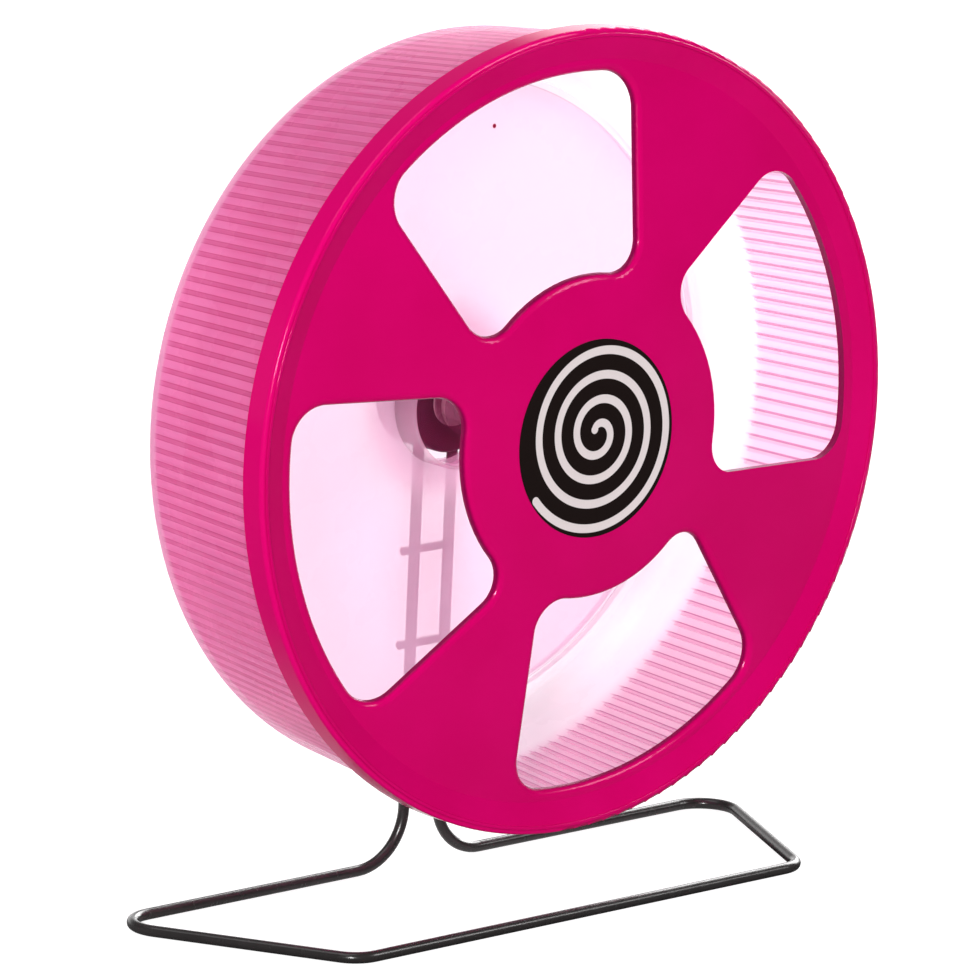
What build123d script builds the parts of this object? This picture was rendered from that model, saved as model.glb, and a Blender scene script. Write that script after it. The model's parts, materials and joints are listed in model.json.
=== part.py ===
from build123d import *
import math
import os

# Hamster wheel on a bent wire stand. Millimetres, Z up, X across, the open front faces -Y.
# The origin is on the floor, at the middle of the whole object in X and Y.
# Inside the functions a depth is measured along Y from the wheel's rim plane, positive
# to the back, and a height is measured from the axle. The last step moves every piece.

# Wheel
wheel_diameter = 280.0
wheel_depth = 76.5
wheel_floor_clearance = 29.5

# Front cover
cover_wall = 2.2
rim_wall = 2.0
rim_band_width = 9.7
rim_shoulder_radius = 1.6
rim_bead_inset = 2.4
rim_bead_width = 1.3
rim_bead_height = 0.4
rim_bead_rounding = 0.35
rim_slope_width = 8.6
rim_slope_depth = 2.4
rim_seat_depth = 3.4
rim_seat_width = 3.6
hub_rise = 8.6
opening_count = 4
opening_turn = 16.0
opening_rim_margin = 4.4
opening_side_angle = 19.3
opening_edge_rounding = 2.6
opening_lip_depth = 3.0
opening_lip_width = 2.4

# Sizes of the cover's face as shares of the wheel's radius
hub_flat_share = 0.2522
opening_inner_share = 0.4036
opening_waist_share = 0.5
opening_waist_width_share = 0.6143
opening_outer_rounding_share = 0.0929
opening_inner_rounding_share = 0.0786

# Snap between the cover's rim and the drum
catch_bead_height = 0.45
catch_bead_depth = 2.0
catch_bead_width = 1.2
rim_clearance = 0.35
snap_lug_count = 8
snap_lug_angle = 12.0
snap_lug_gap = 0.3
snap_lug_width = 1.6

# Label on the hub
label_margin = 0.9
label_thickness = 0.25

# Running drum, one moulding of tread, rounded corner, back wall and hub pocket
drum_wall = 1.8
tread_taper = 6.9
corner_radius = 9.0
back_ring_width = 17.0
back_ring_slope = 1.2
disc_recess = 4.3

# Ribs across the running surface
rib_count = 180
rib_width = 1.5
rib_height = 0.8
rib_root = 0.7
rib_front_margin = 8.0
rib_back_margin = 22.0
rib_ramp = 2.5

# Hub pocket and bush seat in the drum's back wall
pocket_clearance = 2.9
pocket_depth = 10.4
pocket_edge_rounding = 1.0
hub_tube_wall = 3.0
hub_tube_front_length = 8.0
hub_tube_back_length = 3.6
hub_tube_rounding = 1.5

# Two flanged bushes, pressed in from both ends of the hub tube
bush_wall = 2.4
bush_flange_radius = 8.8
bush_flange_thickness = 1.4
bush_seat_clearance = 0.02
bush_running_clearance = 0.05
bush_middle_gap = 0.6
end_float = 0.3

# Axle bolt with a shoulder, its washers and its nut
axle_shoulder_radius = 4.0
axle_thread_radius = 3.0
axle_head_width = 13.0
axle_head_height = 4.5
axle_edge_chamfer = 0.5
washer_clearance = 0.15
head_washer_radius = 9.0
head_washer_thickness = 1.0
nut_width = 10.0
nut_thickness = 5.0
nut_washer_radius = 6.2
nut_washer_thickness = 0.8
thread_clearance = 0.1
thread_end_length = 0.8

# Snap cap over the bolt head, inside the drum
hub_cap_wall = 1.4
hub_cap_seat_clearance = 0.1
hub_cap_grip_length = 6.0
hub_cap_head_gap = 1.2
hub_cap_rounding = 2.0

# Round bearing block on the wire ends, in a front and a back shell
block_radius = 18.5
block_edge_rounding = 1.0
block_back_floor = 3.9
nut_pocket_clearance = 0.2
nut_end_gap = 0.3
cap_plug_radius = 7.5
cap_plug_depth = 1.2
cap_plug_clearance = 0.1
end_cap_radius = 9.0
end_cap_thickness = 1.5
end_cap_rounding = 0.8
channel_clearance = 0.15
wire_end_height = 9.0

# Self-tapping screws of the bearing block
screw_spacing_across = 26.0
screw_spacing_up = 12.0
screw_radius = 1.4
screw_hole_clearance = 0.1
screw_pilot_clearance = 0.02
screw_head_radius = 2.5
screw_head_height = 1.6
screw_head_clearance = 0.15
screw_head_sink = 0.4
screw_tip_margin = 2.5
screw_slot_width = 0.6
screw_slot_depth = 0.7

# Wire stand
wire_diameter = 4.0
wire_disc_gap = 0.7
upright_spacing = 15.4
upright_lean_angle = 2.4
upright_bend_radius = 20.0
base_front_share = 0.7193
base_back_share = 1.0171
base_depth = 88.7
base_front_bend_radius = 11.0
base_back_bend_radius = 13.0

# Cross wires welded behind the uprights
cross_wire_diameter = 3.0
cross_wire_overhang = 2.4
cross_wire_weld_gap = 0.05
upper_cross_wire_drop = 55.0
lower_cross_wire_drop = 89.0

# One overrun for every cut that has to pass a face
overrun = 2.0

# Radii worked out from the sizes above
wheel_radius = wheel_diameter / 2
rim_inner_radius = wheel_radius - rim_wall
bead_radius = wheel_radius - rim_bead_inset
crease_radius = bead_radius - rim_slope_width
opening_outer_radius = crease_radius - opening_rim_margin
opening_inner_radius = wheel_radius * opening_inner_share
opening_waist_radius = wheel_radius * opening_waist_share
opening_waist_width = wheel_radius * opening_waist_width_share
opening_outer_rounding = wheel_radius * opening_outer_rounding_share
opening_inner_rounding = wheel_radius * opening_inner_rounding_share
hub_flat_radius = wheel_radius * hub_flat_share
label_radius = hub_flat_radius - label_margin
drum_front_radius = rim_inner_radius - catch_bead_height - rim_clearance
drum_back_radius = drum_front_radius - tread_taper
disc_radius = drum_back_radius - back_ring_width
bush_bore_radius = axle_shoulder_radius + bush_running_clearance
bush_outer_radius = bush_bore_radius + bush_wall
bush_seat_radius = bush_outer_radius + bush_seat_clearance
hub_tube_radius = bush_seat_radius + hub_tube_wall
pocket_radius = block_radius + pocket_clearance
pocket_outer_radius = pocket_radius + drum_wall
hub_cap_inner_radius = hub_tube_radius + hub_cap_seat_clearance
hub_cap_outer_radius = hub_cap_inner_radius + hub_cap_wall
wire_radius = wire_diameter / 2
cross_wire_radius = cross_wire_diameter / 2
channel_radius = wire_radius + channel_clearance

# Depths along Y, from the rim plane
hub_face_y = -hub_rise
label_face_y = hub_face_y - label_thickness
drum_front_y = rim_seat_depth
disc_back_y = wheel_depth - disc_recess
disc_front_y = disc_back_y - drum_wall
pocket_floor_back_y = disc_back_y - pocket_depth
pocket_floor_front_y = pocket_floor_back_y - drum_wall
hub_tube_front_y = pocket_floor_front_y - hub_tube_front_length
hub_tube_back_y = pocket_floor_back_y + hub_tube_back_length
bush_front_y = hub_tube_front_y - bush_flange_thickness
bush_back_y = hub_tube_back_y + bush_flange_thickness
block_nose_y = bush_back_y + end_float
head_washer_back_y = bush_front_y - end_float
head_washer_front_y = head_washer_back_y - head_washer_thickness
axle_head_front_y = head_washer_front_y - axle_head_height
hub_cap_front_y = axle_head_front_y - hub_cap_head_gap - hub_cap_wall
wire_axle_y = disc_back_y + wire_disc_gap + wire_radius
nut_seat_y = wire_axle_y + block_back_floor
nut_front_y = nut_seat_y + nut_washer_thickness
nut_back_y = nut_front_y + nut_thickness
axle_end_y = nut_back_y + thread_end_length
plug_seat_y = axle_end_y + nut_end_gap
block_back_y = plug_seat_y + cap_plug_depth
end_cap_back_y = block_back_y + end_cap_thickness

# Heights and depths of the stand
axle_height = wheel_floor_clearance + wheel_radius
base_drop = axle_height - wire_radius
base_front_width = wheel_diameter * base_front_share
base_back_width = wheel_diameter * base_back_share
base_back_y = wire_axle_y + base_drop * math.tan(math.radians(upright_lean_angle))
base_front_y = base_back_y - base_depth

# Where the whole object begins and ends along Y
front_end_y = min(label_face_y, base_front_y - wire_radius)
back_end_y = max(end_cap_back_y, base_back_y + wire_radius)
middle_y = (front_end_y + back_end_y) / 2


def turned(points):
    """A solid of revolution round the wheel's axis, from (radius, depth) points."""
    return revolve(make_face(Polyline(*points, close=True)), Axis.Y)


def disc(radius, y_from, y_to, x=0.0, z=0.0):
    """A round bar along Y between two depths."""
    length = y_to - y_from
    plane = Plane(origin=(x, y_from, z), x_dir=(1, 0, 0), z_dir=(0, 1, 0))
    return extrude(plane * Circle(radius), amount=length)


def hexagon(width, y_from, y_to):
    """A hexagonal bar along Y, measured across its flats."""
    plane = Plane(origin=(0, y_from, 0), x_dir=(1, 0, 0), z_dir=(0, 1, 0))
    outline = plane * RegularPolygon(width / 2, 6, major_radius=False)
    return extrude(outline, amount=y_to - y_from)


def edges_at(solid, y, radius):
    """The round edges of a solid at one depth and radius."""
    found = solid.edges().filter_by(GeomType.CIRCLE).filter_by_position(
        Axis.Y, y - overrun / 100, y + overrun / 100)
    return found.filter_by(lambda edge: abs(edge.radius - radius) < overrun / 100)


def cone_depth(radius):
    """Depth of the cover's dished face at a radius."""
    slope = (rim_slope_depth + hub_rise) / (crease_radius - hub_flat_radius)
    return hub_face_y + slope * (radius - hub_flat_radius)


def opening_outline():
    """One opening of the cover, pointing up, in the wheel's plane."""
    ring = Circle(opening_outer_radius) - Circle(opening_inner_radius)
    flare = math.tan(math.radians(opening_side_angle))
    apex = opening_waist_radius - opening_waist_width / 2 / flare
    half_top = (wheel_radius - apex) * flare
    corners = ((0, apex), (half_top, wheel_radius), (-half_top, wheel_radius))
    wedge = make_face(Polyline(*corners, close=True))
    outline = ring & wedge
    outer = outline.vertices().group_by(SortBy.DISTANCE)[-1]
    outline = fillet(outer, opening_outer_rounding)
    inner = outline.vertices().group_by(SortBy.DISTANCE)[0]
    return fillet(inner, opening_inner_rounding)


def opening_prism(index, margin=0.0):
    """A prism through the cover along one opening's outline, grown by a margin."""
    direction = opening_turn + index * 360 / opening_count
    outline = opening_outline()
    if margin > 0:
        outline = offset(outline, amount=margin)
    outline = Rot(0, 0, direction - 90) * outline
    start = Plane(origin=(0, rim_band_width, 0), x_dir=(1, 0, 0), z_dir=(0, -1, 0))
    return extrude(start * outline, amount=rim_band_width + hub_rise + overrun)


def opening_lips():
    """The cover's wall turned in round its openings, as deep as their rounded edges need."""
    inner = opening_inner_radius - opening_lip_width - overrun
    profile = (
        (inner, cone_depth(inner) + cover_wall / 2),
        (crease_radius, cone_depth(crease_radius) + cover_wall / 2),
        (crease_radius, cone_depth(crease_radius) + opening_lip_depth),
        (inner, cone_depth(inner) + opening_lip_depth),
    )
    ring = turned(profile)
    return [ring & opening_prism(index, opening_lip_width) for index in range(opening_count)]


def front_cover():
    """Dished cover with four openings, a sloped rim with a thin bead, and snap lugs."""
    front = (
        (0, hub_face_y),
        (hub_flat_radius, hub_face_y),
        (crease_radius, rim_slope_depth),
        (bead_radius, 0),
        (wheel_radius, 0),
        (wheel_radius, rim_band_width),
    )
    back = (
        (rim_inner_radius, rim_band_width),
        (rim_inner_radius, rim_seat_depth),
        (rim_inner_radius - rim_seat_width, rim_seat_depth),
        (crease_radius, rim_slope_depth + cover_wall),
        (hub_flat_radius, hub_face_y + cover_wall),
        (0, hub_face_y + cover_wall),
    )
    cover = turned(front + back)
    cover = fillet(edges_at(cover, 0, wheel_radius), rim_shoulder_radius)
    bead_profile = (
        (bead_radius - rim_bead_width / 2, rim_bead_height),
        (bead_radius - rim_bead_width / 2, -rim_bead_height),
        (bead_radius + rim_bead_width / 2, -rim_bead_height),
        (bead_radius + rim_bead_width / 2, rim_bead_height),
    )
    bead = turned(bead_profile)
    for radius in (bead_radius - rim_bead_width / 2, bead_radius + rim_bead_width / 2):
        bead = fillet(edges_at(bead, -rim_bead_height, radius), rim_bead_rounding)
    cover = cover + bead + opening_lips()
    for index in range(opening_count):
        cover = cover - opening_prism(index)
    cover = fillet(opening_front_edges(cover), opening_edge_rounding)
    return cover + snap_lugs()


def opening_front_edges(cover):
    """The front edges of the four openings."""
    cones = cover.faces().filter_by(GeomType.CONE).sort_by(SortBy.AREA)[-2:]
    front = cones.sort_by(Axis.Y)[0]
    loops = [wire for wire in front.inner_wires() if not wire_is_round(wire)]
    return [edge for wire in loops for edge in wire.edges()]


def wire_is_round(wire):
    """True for a loop that goes round the wheel's axis."""
    centre = wire.center(CenterOf.BOUNDING_BOX)
    return math.hypot(centre.X, centre.Z) < opening_inner_radius / 2


def snap_lugs():
    """Short inward ledges on the rim that hook behind the drum's catch bead."""
    start = drum_front_y + catch_bead_depth + catch_bead_width + snap_lug_gap
    inner = rim_inner_radius - catch_bead_height - rim_clearance
    profile = (
        (inner, start),
        (rim_inner_radius + rim_wall / 2, start),
        (rim_inner_radius + rim_wall / 2, start + snap_lug_width),
        (rim_inner_radius, start + snap_lug_width),
    )
    face = make_face(Polyline(*profile, close=True))
    lug = revolve(face, Axis.Y, revolution_arc=snap_lug_angle)
    step = 360 / snap_lug_count
    return [lug.rotate(Axis.Y, index * step) for index in range(snap_lug_count)]


def hub_label():
    """Thin round label on the hub."""
    return disc(label_radius, label_face_y, hub_face_y)


def tub():
    """The drum's tread, rounded corner and recessed back wall."""
    outer_points = (
        (0, drum_front_y),
        (drum_front_radius, drum_front_y),
        (drum_back_radius, wheel_depth),
        (disc_radius + back_ring_slope, wheel_depth),
        (disc_radius, disc_back_y),
        (0, disc_back_y),
    )
    outer = turned(outer_points)
    outer = fillet(edges_at(outer, wheel_depth, drum_back_radius), corner_radius)
    cavity_points = (
        (0, drum_front_y),
        (drum_front_radius - drum_wall, drum_front_y),
        (drum_back_radius - drum_wall, wheel_depth - drum_wall),
        (disc_radius + back_ring_slope + drum_wall, wheel_depth - drum_wall),
        (disc_radius + drum_wall, disc_front_y),
        (0, disc_front_y),
    )
    cavity = turned(cavity_points)
    deep = edges_at(cavity, wheel_depth - drum_wall, drum_back_radius - drum_wall)
    cavity = fillet(deep, corner_radius - drum_wall)
    return outer - cavity


def tread_radius(y):
    """Inside radius of the tapered tread at a depth."""
    run = (y - drum_front_y) / (wheel_depth - drum_front_y)
    return drum_front_radius - drum_wall - tread_taper * run


def tread_rib():
    """One cross rib that follows the tread's taper and ramps down at both ends."""
    start = drum_front_y + rib_front_margin
    stop = wheel_depth - rib_back_margin
    points = (
        (tread_radius(start) + rib_root, start),
        (tread_radius(start), start),
        (tread_radius(start + rib_ramp) - rib_height, start + rib_ramp),
        (tread_radius(stop - rib_ramp) - rib_height, stop - rib_ramp),
        (tread_radius(stop), stop),
        (tread_radius(stop) + rib_root, stop),
    )
    face = make_face(Polyline(*points, close=True))
    return extrude(face, amount=rib_width / 2, both=True)


def hub_pocket():
    """Round cup that stands into the drum and takes the bearing block's nose."""
    cup = disc(pocket_outer_radius, pocket_floor_front_y, disc_front_y + drum_wall / 2)
    return fillet(edges_at(cup, pocket_floor_front_y, pocket_outer_radius), pocket_edge_rounding)


def running_drum():
    """Translucent drum in one piece, with ribs for the animal's feet."""
    body = tub() + hub_pocket()
    body = body - disc(pocket_radius, pocket_floor_back_y, disc_back_y + overrun)
    body = body + disc(hub_tube_radius, hub_tube_front_y, hub_tube_back_y)
    body = body - disc(bush_seat_radius, hub_tube_front_y - overrun, disc_back_y)
    body = fillet(edges_at(body, pocket_floor_front_y, hub_tube_radius), hub_tube_rounding)
    bead_profile = (
        (drum_front_radius - drum_wall / 2, drum_front_y + catch_bead_depth),
        (rim_inner_radius - rim_clearance, drum_front_y + catch_bead_depth + catch_bead_width / 2),
        (rim_inner_radius - rim_clearance, drum_front_y + catch_bead_depth + catch_bead_width),
        (drum_front_radius - drum_wall / 2, drum_front_y + catch_bead_depth + catch_bead_width),
    )
    body = body + turned(bead_profile)
    rib = tread_rib()
    step = 360 / rib_count
    ribs = [rib.rotate(Axis.Y, index * step) for index in range(rib_count)]
    return body.fuse(*ribs)


def bush(flange_y, end_y):
    """A flanged bush between its flange's outer face and its inner end."""
    inward = 1 if end_y > flange_y else -1
    flange_end = flange_y + inward * bush_flange_thickness
    flange = disc(bush_flange_radius, min(flange_y, flange_end), max(flange_y, flange_end))
    sleeve = disc(bush_outer_radius, min(flange_y, end_y), max(flange_y, end_y))
    bore = disc(bush_bore_radius, bush_front_y - overrun, bush_back_y + overrun)
    return flange + sleeve - bore


def front_bush():
    """Bush on the drum side, its flange under the bolt head's washer."""
    middle = (hub_tube_front_y + hub_tube_back_y) / 2
    return bush(bush_front_y, middle - bush_middle_gap / 2)


def rear_bush():
    """Bush on the stand side, its flange against the bearing block."""
    middle = (hub_tube_front_y + hub_tube_back_y) / 2
    return bush(bush_back_y, middle + bush_middle_gap / 2)


def hub_cap():
    """Cap that snaps over the hub tube and hides the bolt head."""
    grip_y = hub_tube_front_y + hub_cap_grip_length
    shell = disc(hub_cap_outer_radius, hub_cap_front_y, grip_y)
    shell = fillet(edges_at(shell, hub_cap_front_y, hub_cap_outer_radius), hub_cap_rounding)
    return shell - disc(hub_cap_inner_radius, hub_cap_front_y + hub_cap_wall, grip_y + overrun)


def axle_bolt():
    """Shoulder bolt that the wheel turns on."""
    head = hexagon(axle_head_width, axle_head_front_y, head_washer_front_y)
    rounding = disc(axle_head_width / math.sqrt(3), axle_head_front_y, head_washer_front_y)
    rounding = chamfer(rounding.edges().group_by(Axis.Y)[0], axle_edge_chamfer)
    shoulder = disc(axle_shoulder_radius, head_washer_front_y, block_nose_y)
    thread = disc(axle_thread_radius, block_nose_y, axle_end_y)
    thread = chamfer(thread.edges().group_by(Axis.Y)[-1], axle_edge_chamfer)
    return (head & rounding) + shoulder + thread


def head_washer():
    """Flat washer between the bolt head and the front bush."""
    ring = disc(head_washer_radius, head_washer_front_y, head_washer_back_y)
    hole_radius = axle_shoulder_radius + washer_clearance
    return ring - disc(hole_radius, head_washer_front_y - overrun, head_washer_back_y + overrun)


def nut_washer():
    """Small washer under the nut."""
    ring = disc(nut_washer_radius, nut_seat_y, nut_front_y)
    hole_radius = axle_thread_radius + washer_clearance
    return ring - disc(hole_radius, nut_seat_y - overrun, nut_front_y + overrun)


def lock_nut():
    """Lock nut in its pocket at the back of the bearing block."""
    body = hexagon(nut_width, nut_front_y, nut_back_y)
    rounding = disc(nut_width / math.sqrt(3), nut_front_y, nut_back_y)
    rounding = chamfer(rounding.edges().group_by(Axis.Y)[-1], axle_edge_chamfer)
    hole_radius = axle_thread_radius + thread_clearance
    bore = disc(hole_radius, nut_front_y - overrun, nut_back_y + overrun)
    return (body & rounding) - bore


def upright_y(z):
    """Depth of the leaning uprights' centre line at a height from the axle."""
    return wire_axle_y - z * math.tan(math.radians(upright_lean_angle))


def screw_places():
    """Centres of the four block screws."""
    half_across = screw_spacing_across / 2
    half_up = screw_spacing_up / 2
    return [(x, z) for x in (-half_across, half_across) for z in (-half_up, half_up)]


def wire_channels():
    """Bores in the bearing block that take the two upright wire ends."""
    low = (upright_y(-block_radius - overrun), -block_radius - overrun)
    high = (upright_y(wire_end_height), wire_end_height)
    reach = math.dist(low, high)
    channels = []
    for x in (-upright_spacing / 2, upright_spacing / 2):
        direction = (0, high[0] - low[0], high[1] - low[1])
        plane = Plane(origin=(x, low[0], low[1]), x_dir=(1, 0, 0), z_dir=direction)
        channels.append(extrude(plane * Circle(channel_radius), amount=reach))
    return channels


def block_front():
    """Front shell of the bearing block, its nose inside the drum's pocket."""
    shell = disc(block_radius, block_nose_y, wire_axle_y)
    shell = fillet(shell.edges().group_by(Axis.Y)[0], block_edge_rounding)
    hole_radius = axle_thread_radius + thread_clearance
    shell = shell - disc(hole_radius, block_nose_y - overrun, wire_axle_y + overrun)
    pilot_radius = screw_radius + screw_pilot_clearance
    for x, z in screw_places():
        shell = shell - disc(pilot_radius, screw_tip_y(), wire_axle_y + overrun, x, z)
    for channel in wire_channels():
        shell = shell - channel
    return shell


def block_back():
    """Back shell that clamps the wire ends and holds the nut."""
    shell = disc(block_radius, wire_axle_y, block_back_y)
    shell = fillet(shell.edges().group_by(Axis.Y)[-1], block_edge_rounding)
    hole_radius = axle_thread_radius + thread_clearance
    shell = shell - disc(hole_radius, wire_axle_y - overrun, block_back_y)
    nut_room = nut_width + 2 * nut_pocket_clearance
    shell = shell - disc(nut_washer_radius + nut_pocket_clearance, nut_seat_y, nut_front_y)
    shell = shell - hexagon(nut_room, nut_seat_y, plug_seat_y)
    shell = shell - disc(cap_plug_radius, plug_seat_y, block_back_y + overrun)
    head_room = screw_head_radius + screw_head_clearance
    for x, z in screw_places():
        shell = shell - disc(screw_radius + screw_hole_clearance, wire_axle_y - overrun,
                             screw_seat_y() + overrun, x, z)
        shell = shell - disc(head_room, screw_seat_y(), block_back_y + overrun, x, z)
    for channel in wire_channels():
        shell = shell - channel
    return shell


def screw_seat_y():
    """Depth of the face that the screw heads press on."""
    return block_back_y - screw_head_sink - screw_head_height


def screw_tip_y():
    """Depth of the screw tips in the front shell."""
    return block_nose_y + screw_tip_margin


def block_screws():
    """Four pan-head screws with a cross slot."""
    screws = []
    for x, z in screw_places():
        head_end = screw_seat_y() + screw_head_height
        shank = disc(screw_radius, screw_tip_y(), screw_seat_y(), x, z)
        head = disc(screw_head_radius, screw_seat_y(), head_end, x, z)
        head = fillet(head.edges().group_by(Axis.Y)[-1], screw_slot_width)
        slot_place = Pos(x, head_end - screw_slot_depth / 2, z)
        slot = Box(screw_head_radius, screw_slot_depth, screw_slot_width)
        slots = slot + slot.rotate(Axis.Y, 90)
        screws.append(shank + head - slot_place * slots)
    return Compound(children=screws)


def end_cap():
    """Round cap that plugs the nut pocket from behind."""
    plug_end = plug_seat_y + cap_plug_clearance
    plug = disc(cap_plug_radius - cap_plug_clearance, plug_end, block_back_y)
    head = disc(end_cap_radius, block_back_y, end_cap_back_y)
    head = fillet(head.edges().group_by(Axis.Y)[-1], end_cap_rounding)
    return plug + head


def wire_stand():
    """One bent wire: two uprights and a flared base loop, open between the uprights."""
    side = upright_spacing / 2
    top = (upright_y(wire_end_height), wire_end_height)
    path_points = (
        (-side, top[0], top[1]),
        (-side, base_back_y, -base_drop),
        (-base_back_width / 2, base_back_y, -base_drop),
        (-base_front_width / 2, base_front_y, -base_drop),
        (base_front_width / 2, base_front_y, -base_drop),
        (base_back_width / 2, base_back_y, -base_drop),
        (side, base_back_y, -base_drop),
        (side, top[0], top[1]),
    )
    bends = (
        upright_bend_radius,
        base_back_bend_radius,
        base_front_bend_radius,
        base_front_bend_radius,
        base_back_bend_radius,
        upright_bend_radius,
    )
    path = FilletPolyline(*path_points, radius=bends)
    start = Plane(origin=path @ 0, z_dir=path % 0)
    return sweep(start * Circle(wire_radius), path=path)


def cross_wire(drop):
    """A short straight wire across the back of both uprights."""
    length = upright_spacing + 2 * cross_wire_overhang
    y = upright_y(-drop) + wire_radius + cross_wire_weld_gap + cross_wire_radius
    plane = Plane(origin=(-length / 2, y, -drop), z_dir=(1, 0, 0))
    return extrude(plane * Circle(cross_wire_radius), amount=length)


def upper_cross_wire():
    """The cross wire nearer to the axle."""
    return cross_wire(upper_cross_wire_drop)


def lower_cross_wire():
    """The cross wire nearer to the base."""
    return cross_wire(lower_cross_wire_drop)


pieces = {
    "front_cover": front_cover,
    "hub_label": hub_label,
    "running_drum": running_drum,
    "front_bush": front_bush,
    "rear_bush": rear_bush,
    "hub_cap": hub_cap,
    "axle_bolt": axle_bolt,
    "head_washer": head_washer,
    "nut_washer": nut_washer,
    "lock_nut": lock_nut,
    "block_front": block_front,
    "block_back": block_back,
    "block_screws": block_screws,
    "end_cap": end_cap,
    "wire_stand": wire_stand,
    "upper_cross_wire": upper_cross_wire,
    "lower_cross_wire": lower_cross_wire,
}

os.makedirs("parts", exist_ok=True)
to_floor = Pos(0, -middle_y, axle_height)
for name, make in pieces.items():
    export_step(to_floor * make(), f"parts/{name}.step")
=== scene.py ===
import json
import math
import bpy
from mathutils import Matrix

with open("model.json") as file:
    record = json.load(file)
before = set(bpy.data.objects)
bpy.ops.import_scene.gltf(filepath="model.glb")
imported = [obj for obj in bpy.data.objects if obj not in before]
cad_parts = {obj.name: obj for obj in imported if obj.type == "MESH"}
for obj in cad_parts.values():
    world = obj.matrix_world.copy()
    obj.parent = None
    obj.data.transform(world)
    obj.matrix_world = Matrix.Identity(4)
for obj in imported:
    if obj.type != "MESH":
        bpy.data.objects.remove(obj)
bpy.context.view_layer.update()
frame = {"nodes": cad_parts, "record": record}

from types import SimpleNamespace

import bpy
from mathutils import Matrix, Vector

# Places that follow the CAD, in metres
AXLE_HEIGHT = frame["record"]["behaviour"]["joints"][0]["pos_m"][2]
RIM_PLANE_Y = -0.039775
MILLIMETRES_IN_METRE = 1000.0

# The cover's zones by radius from the axle, in millimetres: where each edge starts and ends
OPENINGS_END = (126.5, 128.0)
RIM_EDGE = (138.4, 139.2)

# How squarely a face of the cover looks forward, between an opening's wall and the flat face
WALL_FACING = (0.35, 0.8)

# The drum's zones by radius from the axle, in millimetres: where each edge starts and ends
HUB_CORE_EDGE = (11.3, 11.8)
HUB_WINDOW_EDGE = (21.9, 22.3)
HUB_HAZE_EDGE = (25.0, 40.0)
PALE_CENTRE_EDGE = (30.0, 55.0)
DISC_EDGE = (112.5, 112.9)
# Painted shade: a thin line where the back disc steps
STEP_LINE_RADIUS = 112.7
CORNER_START = (117.0, 118.0)
CORNER_FADE = (117.0, 125.0)
OUTER_RIBS_FROM = (121.0, 124.0)
BACK_WALL_END = (122.0, 128.0)
TREAD_FROM = (124.0, 126.0)

# The drum's zones by depth behind the rim plane, in millimetres
RIBS_START = (11.4, 13.9)
RIBBED_TINT_END = (50.0, 60.0)
INNER_RIBS_END = (52.0, 57.0)
OUTER_RIBS_END = (65.5, 69.5)
BACK_WALL_FROM = (70.0, 72.5)

# The drum's ribs, in millimetres, and how strong a rib's middle is beside its edges
RIB_COUNT = 180
RIB_WIDTH = 1.5
OUTER_BAND_SHARE = 0.62
INNER_BAND_SHARE = 0.12

# How squarely a face of the drum looks outward, between its inner skin and its outer one
OUTWARD_FACING = (0.1, 0.5)

# How clear the drum's plastic is, from nought to one, by zone and skin
CLEAR_TREAD_OUTSIDE = 0.22
CLEAR_BACK_OUTSIDE = 0.62
CLEAR_BACK_INSIDE = 0.56
CLEAR_TREAD_INSIDE = 0.25
CLEAR_HUB = 0.86
CLEAR_HUB_CORE = 0.8
HUB_HAZE_SHARE = 0.5
RIBBED_CLEAR_SHARE = 0.8

# How much of the rest is light scattered through the plastic, on each skin
SCATTER_INSIDE = 0.6
SCATTER_OUTSIDE = 0.45

# The moulding gate's mark on the drum's back wall, in metres
GATE_PLACE = (0.0202, RIM_PLANE_Y + 0.0704, AXLE_HEIGHT + 0.094)
GATE_EDGE = (0.0006, 0.0011)

# The label's spiral, in millimetres from the axle, with its ends given in turns
SPIRAL_CENTRE = (0.8, 1.7)
SPIRAL_START_RADIUS = 3.2
SPIRAL_PITCH = 8.49
SPIRAL_START_TURN = -0.13
SPIRAL_END_TURN = 3.65
SPIRAL_LINE_WIDTH = 3.0
SPIRAL_SOFT_EDGE = 0.06

# The floor, in metres, and how bright it is to each kind of ray
FLOOR_HALF = 6.0
FLOOR_GLOW = 0.92
FLOOR_SHADE = (0.30, 0.31)
FLOOR_PLAIN = 0.42
FLOOR_IN_GLOSS = 0.06
MIRRORED_BEHIND = (-0.02, 0.1)
MIRRORED_RIGHT = (-0.22, 0.02)

# The studio's light by direction, where one is straight along the axis
STUDIO_LOW = 0.05
STUDIO_GLOW = 2.2
GLOW_BEHIND = (-0.1, 0.5)
GLOW_RIGHT = (-0.4, 0.3)
GLOW_LEFT_SHARE = 0.1
GLOW_UP = (0.22, 0.45)
GLOW_TOP_SHARE = 0.06
WHITE_THROUGH = 0.8

# The lamps: name, place and side in metres, and power in watts
LAMP_TARGET = (0.0, 0.0, 0.16)
LAMPS = (
    ("left_key", (-2.96, -2.54, 1.12), 0.6, 122.0),
    ("right_fill", (1.6, -2.2, 1.6), 0.9, 30.0),
    ("top_soft", (-0.9, 0.1, 2.4), 1.6, 15.0),
    ("back_glow", (1.6, 0.6, 1.0), 1.2, 46.0),
)

# The photograph's camera: pixels, metres and radians, and the sensor in millimetres
IMAGE_SIZE = 980
SENSOR = 36.0
FOCAL_PIXELS = 9415.0
CENTRE_PIXELS = (501.5, 480.3)
HUB_PIXELS = (579.26, 433.84)
CAMERA_DISTANCE = 3.2153
CAMERA_YAW = 0.7117
CAMERA_PITCH = -0.2221
CAMERA_ROLL = 0.0158
CAMERA_REACH = 50.0


def srgb(red, green, blue):
    """Linear colour of a display colour given in steps of 255."""
    linear = []
    for value in (red, green, blue):
        part = value / 255
        linear.append(part / 12.92 if part <= 0.04045 else ((part + 0.055) / 1.055) ** 2.4)
    return (*linear, 1.0)


def grey(value):
    """Linear grey."""
    return (value, value, value, 1.0)


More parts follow.
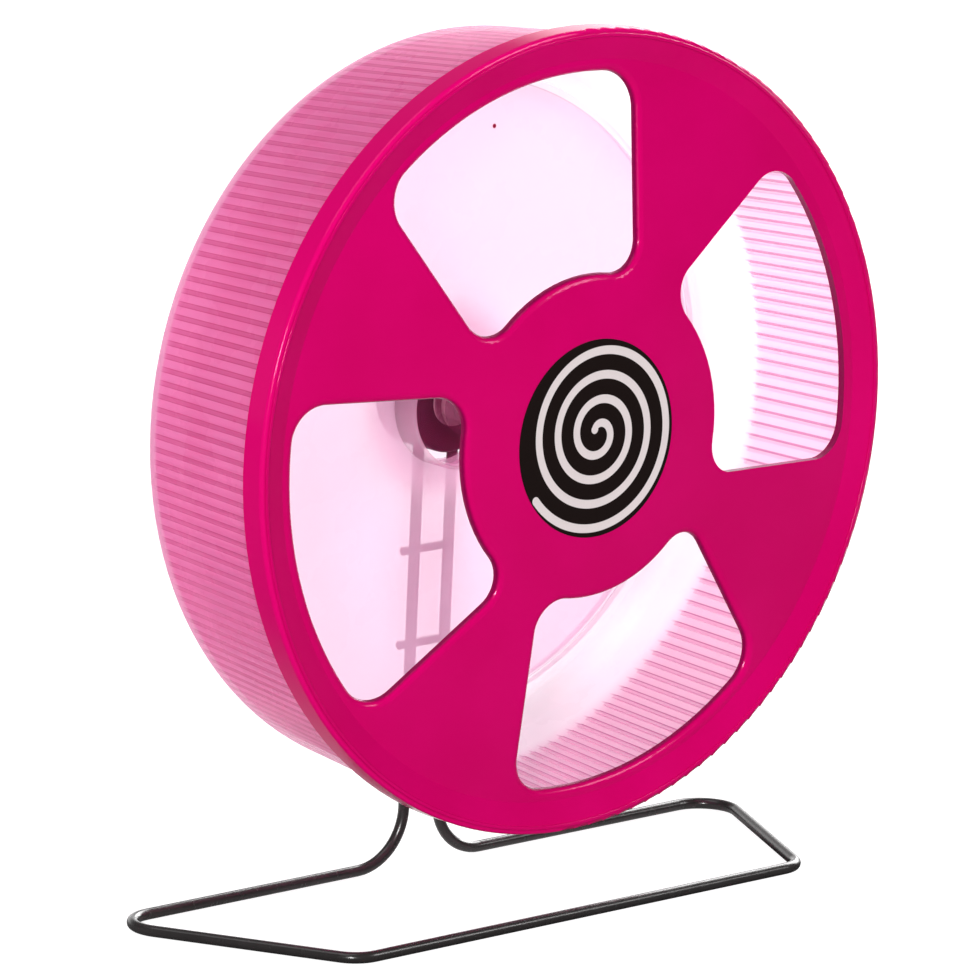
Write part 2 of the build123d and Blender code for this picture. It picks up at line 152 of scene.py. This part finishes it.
COVER_PINK = srgb(207, 1, 98)
COVER_PINK_LIGHT = srgb(213, 2, 104)
# Painted shade for the walls and turned edges of the openings
COVER_WALL_SHADE = srgb(128, 2, 66)
# Painted light: the rim band is lighter, as if lit by the key on the left
COVER_RIM_LIT = srgb(228, 3, 112)
COVER_GLOSS = (1.0, 0.5, 0.75, 1.0)

DRUM_ROSE = srgb(240, 108, 174)
DRUM_ROSE_LIGHT = srgb(237, 116, 180)
DRUM_OUTER_RIB = srgb(194, 42, 112)
# Painted light: the inner skin is paler than the rose outside, and whiter towards the hub, for light shining
# through from behind
DRUM_DISC_CENTRE = srgb(255, 222, 243)
DRUM_DISC = srgb(255, 192, 233)
DRUM_PALE_LIT = srgb(253, 232, 247)
DRUM_RIBBED = srgb(236, 108, 172)
# Inner rib tone with a painted shadow line along one flank
DRUM_INNER_RIB_AND_SHADOW = srgb(186, 62, 128)
DRUM_STEP_SHADE_LINE = srgb(214, 160, 192)
DRUM_GATE = srgb(150, 20, 60)
# Partly painted shade: the hub zone is darkened for the shade inside the drum behind the cover
DRUM_HUB = srgb(150, 16, 84)
DRUM_HUB_CORE = srgb(70, 28, 58)

THROUGH_ROSE = srgb(252, 190, 222)
THROUGH_OUTER_RIB = srgb(226, 130, 180)
THROUGH_BACK = srgb(255, 236, 248)
THROUGH_PALE = srgb(252, 253, 255)
THROUGH_DISC = srgb(255, 228, 249)
THROUGH_RIBBED = srgb(250, 238, 250)
THROUGH_INNER_RIB_AND_SHADOW = srgb(212, 160, 196)
THROUGH_STEP_SHADE_LINE = srgb(216, 200, 216)
THROUGH_HUB = srgb(238, 120, 180)

CLEAR_INSIDE = srgb(255, 248, 253)
CLEAR_OUTSIDE = srgb(255, 236, 248)

LABEL_BLACK = (srgb(24, 16, 15), srgb(31, 22, 21))
LABEL_PALE = (srgb(222, 210, 211), srgb(230, 220, 220))
WIRE_BLACK = (srgb(38, 36, 36), srgb(54, 51, 51))
BLOCK_BLACK = (srgb(24, 22, 24), srgb(38, 35, 37))
BUSH_CREAM = (srgb(218, 215, 206), srgb(228, 225, 217))
ZINC = (srgb(178, 178, 174), srgb(206, 206, 204))

# The stretch of a noise texture's values that a ramp spans: usual, narrow and wide
NOISE_RANGE = (0.3, 0.7)
CLOUD_RANGE = (0.35, 0.65)
GRAIN_RANGE = (0.2, 0.8)


class Nodes:
    """Short names for building a node tree."""

    def __init__(self, tree):
        self.tree = tree
        tree.nodes.clear()

    def add(self, kind, **settings):
        node = self.tree.nodes.new(kind)
        for name, value in settings.items():
            setattr(node, name, value)
        return node

    def put(self, socket, value):
        if isinstance(value, bpy.types.NodeSocket):
            self.tree.links.new(value, socket)
        elif value is not None:
            socket.default_value = value

    def math(self, operation, first, second=None, third=None):
        node = self.add("ShaderNodeMath", operation=operation)
        for index, value in enumerate((first, second, third)):
            self.put(node.inputs[index], value)
        return node.outputs[0]

    def product(self, first, *others):
        for other in others:
            first = self.math("MULTIPLY", first, other)
        return first

    def largest(self, first, *others):
        for other in others:
            first = self.math("MAXIMUM", first, other)
        return first

    def length(self, first, second):
        squares = [self.math("MULTIPLY", value, value) for value in (first, second)]
        return self.math("SQRT", self.math("ADD", *squares))

    def ramp(self, value, low, high, to_low=0.0, to_high=1.0):
        node = self.add("ShaderNodeMapRange", interpolation_type="SMOOTHSTEP")
        for name, number in (("Value", value), ("From Min", low), ("From Max", high),
                             ("To Min", to_low), ("To Max", to_high)):
            self.put(node.inputs[name], number)
        return node.outputs[0]

    def mix_number(self, factor, first, second):
        node = self.add("ShaderNodeMix", data_type="FLOAT")
        self.put(node.inputs["Factor"], factor)
        self.put(node.inputs[2], first)
        self.put(node.inputs[3], second)
        return node.outputs[0]

    def mix_colour(self, factor, first, second):
        node = self.add("ShaderNodeMix", data_type="RGBA")
        self.put(node.inputs["Factor"], factor)
        self.put(node.inputs[6], first)
        self.put(node.inputs[7], second)
        return node.outputs[2]

    def mix_shader(self, factor, first, second):
        node = self.add("ShaderNodeMixShader")
        self.put(node.inputs[0], factor)
        self.put(node.inputs[1], first)
        self.put(node.inputs[2], second)
        return node.outputs[0]

    def split(self, vector):
        node = self.add("ShaderNodeSeparateXYZ")
        self.put(node.inputs[0], vector)
        return tuple(node.outputs)

    def coordinate(self, name):
        return self.add("ShaderNodeTexCoord").outputs[name]

    def noise(self, vector, scale, detail=3.0):
        node = self.add("ShaderNodeTexNoise")
        self.put(node.inputs["Vector"], vector)
        self.put(node.inputs["Scale"], scale)
        self.put(node.inputs["Detail"], detail)
        return node.outputs["Fac"]

    def bump(self, height, strength, distance):
        node = self.add("ShaderNodeBump")
        self.put(node.inputs["Height"], height)
        self.put(node.inputs["Strength"], strength)
        self.put(node.inputs["Distance"], distance)
        return node.outputs["Normal"]

    def finish(self, shader, kind="ShaderNodeOutputMaterial"):
        output = self.add(kind)
        self.put(output.inputs["Surface"], shader)


def material(name):
    """A new empty material and its node helper."""
    made = bpy.data.materials.new(name)
    made.use_nodes = True
    return made, Nodes(made.node_tree)


def solid_shader(nodes, colour, roughness, level, normal=None, tint=None):
    """A Principled shader with the settings that the materials here share."""
    shader = nodes.add("ShaderNodeBsdfPrincipled")
    nodes.put(shader.inputs["Base Color"], colour)
    nodes.put(shader.inputs["Roughness"], roughness)
    nodes.put(shader.inputs["Specular IOR Level"], level)
    nodes.put(shader.inputs["Specular Tint"], tint)
    nodes.put(shader.inputs["Normal"], normal)
    return shader


def from_axle(nodes, place):
    """Radius, across and height from the axle, and depth behind the rim plane, in millimetres."""
    x, y, z = nodes.split(place)
    across = nodes.math("MULTIPLY", x, MILLIMETRES_IN_METRE)
    height = nodes.math("MULTIPLY", nodes.math("SUBTRACT", z, AXLE_HEIGHT), MILLIMETRES_IN_METRE)
    depth = nodes.math("MULTIPLY", nodes.math("SUBTRACT", y, RIM_PLANE_Y), MILLIMETRES_IN_METRE)
    return SimpleNamespace(radius=nodes.length(across, height), across=across, height=height, depth=depth)


def near(nodes, value, place, core, soft):
    """One within the core of a place, falling to nought over the soft distance."""
    away = nodes.math("ABSOLUTE", nodes.math("SUBTRACT", value, place))
    return nodes.ramp(away, core, core + soft, 1.0, 0.0)


def cover_plastic():
    """Glossy opaque pink of the front cover, with faint flow marks, painted shade on the opening walls and a
    rim painted lighter as if lit from the left.
    """
    made, nodes = material("cover_plastic")
    place = nodes.coordinate("Object")
    spot = from_axle(nodes, place)
    facing = nodes.math("ABSOLUTE", nodes.split(nodes.coordinate("Normal"))[1])
    # Painted shade: faces of the openings that look sideways are darkened in the colour
    wall = nodes.product(nodes.ramp(facing, *WALL_FACING, 1.0, 0.0),
                         nodes.ramp(spot.radius, *OPENINGS_END, 1.0, 0.0))
    flow = nodes.ramp(nodes.noise(place, scale=22.0, detail=4.0), *NOISE_RANGE)
    colour = nodes.mix_colour(flow, COVER_PINK, COVER_PINK_LIGHT)
    colour = nodes.mix_colour(wall, colour, COVER_WALL_SHADE)
    # Painted light: the rim band is made lighter, as if lit from the left
    colour = nodes.mix_colour(nodes.ramp(spot.radius, *RIM_EDGE), colour, COVER_RIM_LIT)
    roughness = nodes.ramp(nodes.noise(place, scale=40.0), *NOISE_RANGE, to_low=0.13, to_high=0.17)
    normal = nodes.bump(nodes.noise(place, scale=900.0, detail=2.0), strength=0.02, distance=0.0001)
    shader = solid_shader(nodes, colour, roughness, level=0.25, normal=normal, tint=COVER_GLOSS)
    nodes.finish(shader.outputs[0])
    return made


def rib_lines(nodes, spot):
    """The drum's ribs as lines: the ribs seen through its outer skin, and on its inner skin a faint rib tone
    with a painted shadow line along one flank.
    """
    angle = nodes.math("ARCTAN2", spot.height, spot.across)
    turn = nodes.math("FRACT", nodes.math("MULTIPLY_ADD", angle, RIB_COUNT / (2 * math.pi), 0.5))
    pitch = nodes.math("MULTIPLY", spot.radius, 2 * math.pi / RIB_COUNT)
    offset = nodes.math("MULTIPLY", nodes.math("SUBTRACT", turn, 0.5), pitch)
    half = RIB_WIDTH / 2
    band = near(nodes, offset, 0.0, core=half - 0.1, soft=0.25)
    outer = nodes.largest(nodes.math("MULTIPLY", band, OUTER_BAND_SHARE),
                          near(nodes, offset, half, core=0.05, soft=0.3),
                          near(nodes, offset, -half, core=0.05, soft=0.3))
    # Painted shadow: a dark line along one flank of each inner rib, beside a faint tone over the rib
    inner = nodes.largest(nodes.math("MULTIPLY", band, INNER_BAND_SHARE),
                          near(nodes, offset, half, core=0.2, soft=0.35))
    start = nodes.ramp(spot.depth, *RIBS_START)
    outer = nodes.product(outer, start, nodes.ramp(spot.depth, *OUTER_RIBS_END, 1.0, 0.0),
                          nodes.ramp(spot.radius, *OUTER_RIBS_FROM))
    inner = nodes.product(inner, start, nodes.ramp(spot.depth, *INNER_RIBS_END, 1.0, 0.0),
                          nodes.ramp(spot.radius, *TREAD_FROM))
    return outer, inner


def faces_out(nodes, spot):
    """One on the drum's outer skin, tread, corner and back alike, and nought on its inner skin."""
    x, y, z = nodes.split(nodes.coordinate("Normal"))
    along = nodes.math("ADD", nodes.math("MULTIPLY", x, spot.across), nodes.math("MULTIPLY", z, spot.height))
    away = nodes.product(nodes.math("DIVIDE", along, spot.radius), nodes.ramp(spot.radius, *CORNER_START))
    return nodes.ramp(nodes.largest(away, y), *OUTWARD_FACING)


def drum_zones(nodes, place):
    """The drum's zones, each one where it applies and nought elsewhere."""
    spot = from_axle(nodes, place)
    outer_rib, inner_rib_and_shadow = rib_lines(nodes, spot)
    gate = nodes.add("ShaderNodeVectorMath", operation="DISTANCE")
    nodes.put(gate.inputs[0], place)
    nodes.put(gate.inputs[1], GATE_PLACE)
    return SimpleNamespace(
        radius=spot.radius,
        out=faces_out(nodes, spot),
        back=nodes.product(nodes.ramp(spot.depth, *BACK_WALL_FROM),
                           nodes.ramp(spot.radius, *BACK_WALL_END, 1.0, 0.0)),
        window=nodes.ramp(spot.radius, *HUB_WINDOW_EDGE, 1.0, 0.0),
        core=nodes.ramp(spot.radius, *HUB_CORE_EDGE, 1.0, 0.0),
        disc=nodes.ramp(spot.radius, *DISC_EDGE, 1.0, 0.0),
        # Painted shade: a thin line where the back disc steps
        step_shade_line=near(nodes, spot.radius, STEP_LINE_RADIUS, core=0.1, soft=0.3),
        ribbed=nodes.product(nodes.ramp(spot.radius, *TREAD_FROM),
                             nodes.ramp(spot.depth, *RIBBED_TINT_END, 1.0, 0.0)),
        outer_rib=outer_rib,
        inner_rib_and_shadow=inner_rib_and_shadow,
        gate=nodes.ramp(gate.outputs["Value"], *GATE_EDGE, 1.0, 0.0),
    )


def layered(nodes, base, layers):
    """A colour with others laid over it, each where its zone applies."""
    for zone, colour in layers:
        base = nodes.mix_colour(zone, base, colour)
    return base


def drum_surface_colour(nodes, zones, cloud):
    """The drum's colour: rose outside; pale inside, painted light for light shining through from behind;
    dark at the hub, partly painted shade.
    """
    rose = nodes.mix_colour(cloud, DRUM_ROSE, DRUM_ROSE_LIGHT)
    rose = nodes.mix_colour(zones.outer_rib, rose, DRUM_OUTER_RIB)
    # Painted light: the inner skin is pale, and whiter near the hub, for light shining through from behind
    disc = nodes.mix_colour(nodes.ramp(zones.radius, *PALE_CENTRE_EDGE), DRUM_DISC_CENTRE, DRUM_DISC)
    pale = layered(nodes, DRUM_PALE_LIT, ((zones.disc, disc), (zones.ribbed, DRUM_RIBBED),
                                      (zones.inner_rib_and_shadow, DRUM_INNER_RIB_AND_SHADOW),
                                      (zones.step_shade_line, DRUM_STEP_SHADE_LINE), (zones.gate, DRUM_GATE)))
    # Partly painted shade: the hub and its core are darkened for the shade inside the drum
    hub = nodes.mix_colour(zones.core, DRUM_HUB, DRUM_HUB_CORE)
    return nodes.mix_colour(zones.window, nodes.mix_colour(zones.out, pale, rose), hub)


def drum_through_colour(nodes, zones):
    """The colour of the light that the drum's plastic scatters through itself."""
    rose = nodes.mix_colour(zones.outer_rib, THROUGH_ROSE, THROUGH_OUTER_RIB)
    rose = nodes.mix_colour(zones.back, rose, THROUGH_BACK)
    pale = layered(nodes, THROUGH_PALE, ((zones.disc, THROUGH_DISC), (zones.ribbed, THROUGH_RIBBED),
                                         (zones.inner_rib_and_shadow, THROUGH_INNER_RIB_AND_SHADOW),
                                         (zones.step_shade_line, THROUGH_STEP_SHADE_LINE), (zones.gate, DRUM_GATE)))
    return nodes.mix_colour(zones.window, nodes.mix_colour(zones.out, pale, rose), THROUGH_HUB)


def drum_clearness(nodes, zones):
    """How much of what is behind the drum's plastic shows through it, from nought to one."""
    inside = nodes.product(nodes.ramp(zones.radius, *HUB_HAZE_EDGE, HUB_HAZE_SHARE, 1.0),
                           nodes.ramp(zones.radius, *CORNER_FADE, CLEAR_BACK_INSIDE, CLEAR_TREAD_INSIDE),
                           nodes.ramp(zones.ribbed, 0.0, 1.0, 1.0, RIBBED_CLEAR_SHARE),
                           nodes.math("SUBTRACT", 1.0, zones.gate))
    outside = nodes.ramp(zones.back, 0.0, 1.0, CLEAR_TREAD_OUTSIDE, CLEAR_BACK_OUTSIDE)
    skin = nodes.mix_number(zones.out, inside, outside)
    hub = nodes.ramp(zones.core, 0.0, 1.0, CLEAR_HUB, CLEAR_HUB_CORE)
    return nodes.largest(nodes.math("MULTIPLY", skin, nodes.math("SUBTRACT", 1.0, zones.window)),
                         nodes.math("MULTIPLY", hub, zones.window))


def drum_plastic():
    """Translucent pink of the drum: rose outside, pale inside, clear over the hub."""
    made, nodes = material("drum_plastic")
    place = nodes.coordinate("Object")
    zones = drum_zones(nodes, place)
    cloud = nodes.ramp(nodes.noise(place, scale=55.0, detail=4.0), *CLOUD_RANGE)
    roughness = nodes.ramp(cloud, 0.0, 1.0, to_low=0.26, to_high=0.32)
    normal = nodes.bump(nodes.noise(place, scale=700.0, detail=2.0), strength=0.03, distance=0.0001)
    colour = drum_surface_colour(nodes, zones, cloud)
    surface = solid_shader(nodes, colour, roughness, level=0.4, normal=normal)
    lit_through = nodes.add("ShaderNodeBsdfTranslucent")
    nodes.put(lit_through.inputs["Color"], drum_through_colour(nodes, zones))
    nodes.put(lit_through.inputs["Normal"], normal)
    clear = nodes.add("ShaderNodeBsdfTransparent")
    nodes.put(clear.inputs["Color"], nodes.mix_colour(zones.out, CLEAR_INSIDE, CLEAR_OUTSIDE))
    share = nodes.ramp(zones.out, 0.0, 1.0, SCATTER_INSIDE, SCATTER_OUTSIDE)
    body = nodes.mix_shader(share, surface.outputs[0], lit_through.outputs[0])
    nodes.finish(nodes.mix_shader(drum_clearness(nodes, zones), body, clear.outputs[0]))
    return made


def spiral_mask(nodes, spot):
    """One on the label's spiral line and nought beside it."""
    x = nodes.math("SUBTRACT", spot.across, SPIRAL_CENTRE[0])
    z = nodes.math("SUBTRACT", spot.height, SPIRAL_CENTRE[1])
    angle = nodes.math("ARCTAN2", z, x)
    part = nodes.math("FRACT", nodes.math("DIVIDE", nodes.math("SUBTRACT", 2.5 * math.pi, angle),
                                          2 * math.pi))
    grown = nodes.math("SUBTRACT", nodes.length(x, z), SPIRAL_START_RADIUS)
    winding = nodes.math("SUBTRACT", nodes.math("DIVIDE", grown, SPIRAL_PITCH), part)
    nearest = nodes.math("ROUND", winding)
    offset = nodes.math("ABSOLUTE", nodes.math("SUBTRACT", winding, nearest))
    offset = nodes.math("MULTIPLY", offset, SPIRAL_PITCH)
    turn = nodes.math("ADD", nearest, part)
    half = SPIRAL_LINE_WIDTH / 2
    edge = (half - SPIRAL_SOFT_EDGE, half + SPIRAL_SOFT_EDGE)
    line = nodes.product(nodes.ramp(offset, *edge, 1.0, 0.0),
                         nodes.math("GREATER_THAN", turn, SPIRAL_START_TURN),
                         nodes.math("LESS_THAN", turn, SPIRAL_END_TURN))
    for end in (SPIRAL_START_TURN, SPIRAL_END_TURN):
        end_radius = SPIRAL_START_RADIUS + SPIRAL_PITCH * end
        end_angle = math.pi / 2 - 2 * math.pi * end
        away = nodes.length(nodes.math("SUBTRACT", x, end_radius * math.cos(end_angle)),
                            nodes.math("SUBTRACT", z, end_radius * math.sin(end_angle)))
        line = nodes.largest(line, nodes.ramp(away, *edge, 1.0, 0.0))
    return line


def label_film():
    """Black printed film with a plain pale spiral."""
    made, nodes = material("label_film")
    place = nodes.coordinate("Object")
    line = spiral_mask(nodes, from_axle(nodes, place))
    grain = nodes.noise(place, scale=1500.0, detail=2.0)
    roughness = nodes.ramp(grain, *GRAIN_RANGE, to_low=0.38, to_high=0.46)
    black = nodes.mix_colour(grain, *LABEL_BLACK)
    pale = nodes.mix_colour(grain, *LABEL_PALE)
    colour = nodes.mix_colour(line, black, pale)
    shader = solid_shader(nodes, colour, roughness, level=0.08)
    nodes.finish(shader.outputs[0])
    return made


def coated_wire():
    """Black plastic coating on the wire, with slight waviness."""
    made, nodes = material("coated_wire")
    place = nodes.coordinate("Object")
    wave = nodes.noise(place, scale=90.0, detail=2.0)
    fine = nodes.noise(place, scale=300.0, detail=2.0)
    roughness = nodes.ramp(fine, *NOISE_RANGE, to_low=0.22, to_high=0.28)
    normal = nodes.bump(wave, strength=0.12, distance=0.0004)
    shader = solid_shader(nodes, nodes.mix_colour(wave, *WIRE_BLACK), roughness, level=0.5, normal=normal)
    nodes.finish(shader.outputs[0])
    return made


def black_plastic():
    """Satin black moulding of the bearing block and caps."""
    made, nodes = material("black_plastic")
    grain = nodes.noise(nodes.coordinate("Object"), scale=1100.0)
    roughness = nodes.ramp(grain, *NOISE_RANGE, to_low=0.34, to_high=0.48)
    normal = nodes.bump(grain, strength=0.2, distance=0.0001)
    shader = solid_shader(nodes, nodes.mix_colour(grain, *BLOCK_BLACK), roughness, level=0.45, normal=normal)
    nodes.finish(shader.outputs[0])
    return made


def bush_plastic():
    """Natural pale bearing plastic."""
    made, nodes = material("bush_plastic")
    grain = nodes.noise(nodes.coordinate("Object"), scale=700.0)
    roughness = nodes.ramp(grain, *NOISE_RANGE, to_low=0.4, to_high=0.5)
    normal = nodes.bump(grain, strength=0.1, distance=0.0001)
    shader = solid_shader(nodes, nodes.mix_colour(grain, *BUSH_CREAM), roughness, level=0.4, normal=normal)
    nodes.finish(shader.outputs[0])
    return made


def plated_steel():
    """Zinc plated hardware, faintly mottled."""
    made, nodes = material("plated_steel")
    mottle = nodes.noise(nodes.coordinate("Object"), scale=500.0, detail=4.0)
    roughness = nodes.ramp(mottle, *NOISE_RANGE, to_low=0.22, to_high=0.38)
    shader = solid_shader(nodes, nodes.mix_colour(mottle, *ZINC), roughness, level=0.5)
    nodes.put(shader.inputs["Metallic"], 1.0)
    nodes.finish(shader.outputs[0])
    return made


def dress_nodes():
    """Gives every CAD node the material of its slot in the record."""
    makers = (cover_plastic, drum_plastic, label_film, coated_wire, black_plastic, bush_plastic,
              plated_steel)
    made = {make.__name__: make() for make in makers}
    for part in frame["record"]["subparts"]:
        target = frame["nodes"][part["node"]]
        target.data.materials.clear()
        target.data.materials.append(made[part["material_slot"]])


def floor_material():
    """White to the camera with the object's soft shadow, and bright just behind the object to gloss."""
    made, nodes = material("floor_white")
    rays = nodes.add("ShaderNodeLightPath").outputs
    grain = nodes.noise(nodes.coordinate("Object"), scale=3.0)
    shadowed = nodes.add("ShaderNodeBsdfDiffuse")
    nodes.put(shadowed.inputs["Color"], nodes.mix_colour(grain, *map(grey, FLOOR_SHADE)))
    glow = nodes.add("ShaderNodeEmission")
    nodes.put(glow.inputs["Strength"], FLOOR_GLOW)
    seen = nodes.add("ShaderNodeAddShader")
    nodes.put(seen.inputs[0], shadowed.outputs[0])
    nodes.put(seen.inputs[1], glow.outputs[0])
    plain = nodes.add("ShaderNodeBsdfDiffuse")
    nodes.put(plain.inputs["Color"], nodes.mix_colour(
        rays["Is Glossy Ray"], grey(FLOOR_PLAIN), grey(FLOOR_IN_GLOSS)))
    x, y, _ = nodes.split(nodes.coordinate("Object"))
    mirrored = nodes.product(rays["Is Glossy Ray"], nodes.ramp(y, *MIRRORED_BEHIND),
                             nodes.ramp(x, *MIRRORED_RIGHT))
    direct = nodes.largest(rays["Is Camera Ray"], rays["Is Transmission Ray"], mirrored)
    nodes.finish(nodes.mix_shader(direct, plain.outputs[0], seen.outputs[0]))
    return made


def stage_floor():
    """A wide pale floor under the object."""
    corners = [(side * FLOOR_HALF, end * FLOOR_HALF, 0)
               for side, end in ((-1, -1), (1, -1), (1, 1), (-1, 1))]
    mesh = bpy.data.meshes.new("floor")
    mesh.from_pydata(corners, [], [(0, 1, 2, 3)])
    mesh.materials.append(floor_material())
    floor = bpy.data.objects.new("floor", mesh)
    bpy.context.collection.objects.link(floor)


def studio_world():
    """White to the camera and through clear plastic, else dim, and bright low behind on the right."""
    world = bpy.data.worlds.new("studio")
    world.use_nodes = True
    nodes = Nodes(world.node_tree)
    rays = nodes.add("ShaderNodeLightPath").outputs
    right, behind, up = nodes.split(nodes.coordinate("Generated"))
    glow = nodes.product(nodes.ramp(behind, *GLOW_BEHIND),
                         nodes.ramp(right, *GLOW_RIGHT, GLOW_LEFT_SHARE, 1.0),
                         nodes.ramp(up, *GLOW_UP, 1.0, GLOW_TOP_SHARE))
    white = nodes.add("ShaderNodeBackground")
    nodes.put(white.inputs["Color"], grey(1.0))
    nodes.put(white.inputs["Strength"], nodes.ramp(rays["Is Camera Ray"], 0.0, 1.0, WHITE_THROUGH, 1.0))
    studio = nodes.add("ShaderNodeBackground")
    nodes.put(studio.inputs["Strength"], nodes.math("MULTIPLY_ADD", glow, STUDIO_GLOW, STUDIO_LOW))
    seen = nodes.largest(rays["Is Camera Ray"], rays["Is Transmission Ray"])
    nodes.finish(nodes.mix_shader(seen, studio.outputs[0], white.outputs[0]), "ShaderNodeOutputWorld")
    bpy.context.scene.world = world


def lights():
    """A key on the left, soft lamps on the right and above, and one behind that shines through."""
    for name, place, side, power in LAMPS:
        data = bpy.data.lights.new(name, "AREA")
        data.shape = "RECTANGLE"
        data.size = side
        data.size_y = side
        data.energy = power
        made = bpy.data.objects.new(name, data)
        made.location = place
        aim = Vector(LAMP_TARGET) - Vector(place)
        made.rotation_euler = aim.to_track_quat("-Z", "Y").to_euler()
        bpy.context.collection.objects.link(made)


def photo_camera():
    """The camera that took the photograph."""
    forward = Vector((math.sin(CAMERA_YAW) * math.cos(CAMERA_PITCH),
                      math.cos(CAMERA_YAW) * math.cos(CAMERA_PITCH), math.sin(CAMERA_PITCH)))
    right = Vector((math.cos(CAMERA_YAW), -math.sin(CAMERA_YAW), 0.0))
    up = right.cross(forward)
    tilted_right = math.cos(CAMERA_ROLL) * right + math.sin(CAMERA_ROLL) * up
    tilted_up = -math.sin(CAMERA_ROLL) * right + math.cos(CAMERA_ROLL) * up
    across = (HUB_PIXELS[0] - CENTRE_PIXELS[0]) / FOCAL_PIXELS
    above = (CENTRE_PIXELS[1] - HUB_PIXELS[1]) / FOCAL_PIXELS
    hub = Vector((0.0, RIM_PLANE_Y, AXLE_HEIGHT))
    eye = hub - CAMERA_DISTANCE * (forward + across * tilted_right + above * tilted_up)
    data = bpy.data.cameras.new("photo_camera")
    data.sensor_width = SENSOR
    data.lens = FOCAL_PIXELS * SENSOR / IMAGE_SIZE
    data.shift_x = (IMAGE_SIZE / 2 - CENTRE_PIXELS[0]) / IMAGE_SIZE
    data.shift_y = (CENTRE_PIXELS[1] - IMAGE_SIZE / 2) / IMAGE_SIZE
    data.clip_end = CAMERA_REACH
    camera = bpy.data.objects.new("photo_camera", data)
    turn = Matrix((tilted_right, tilted_up, -forward)).transposed().to_4x4()
    camera.matrix_world = Matrix.Translation(eye) @ turn
    bpy.context.collection.objects.link(camera)
    bpy.context.scene.camera = camera


dress_nodes()
stage_floor()
studio_world()
lights()
photo_camera()
bpy.context.scene.view_settings.view_transform = "Standard"
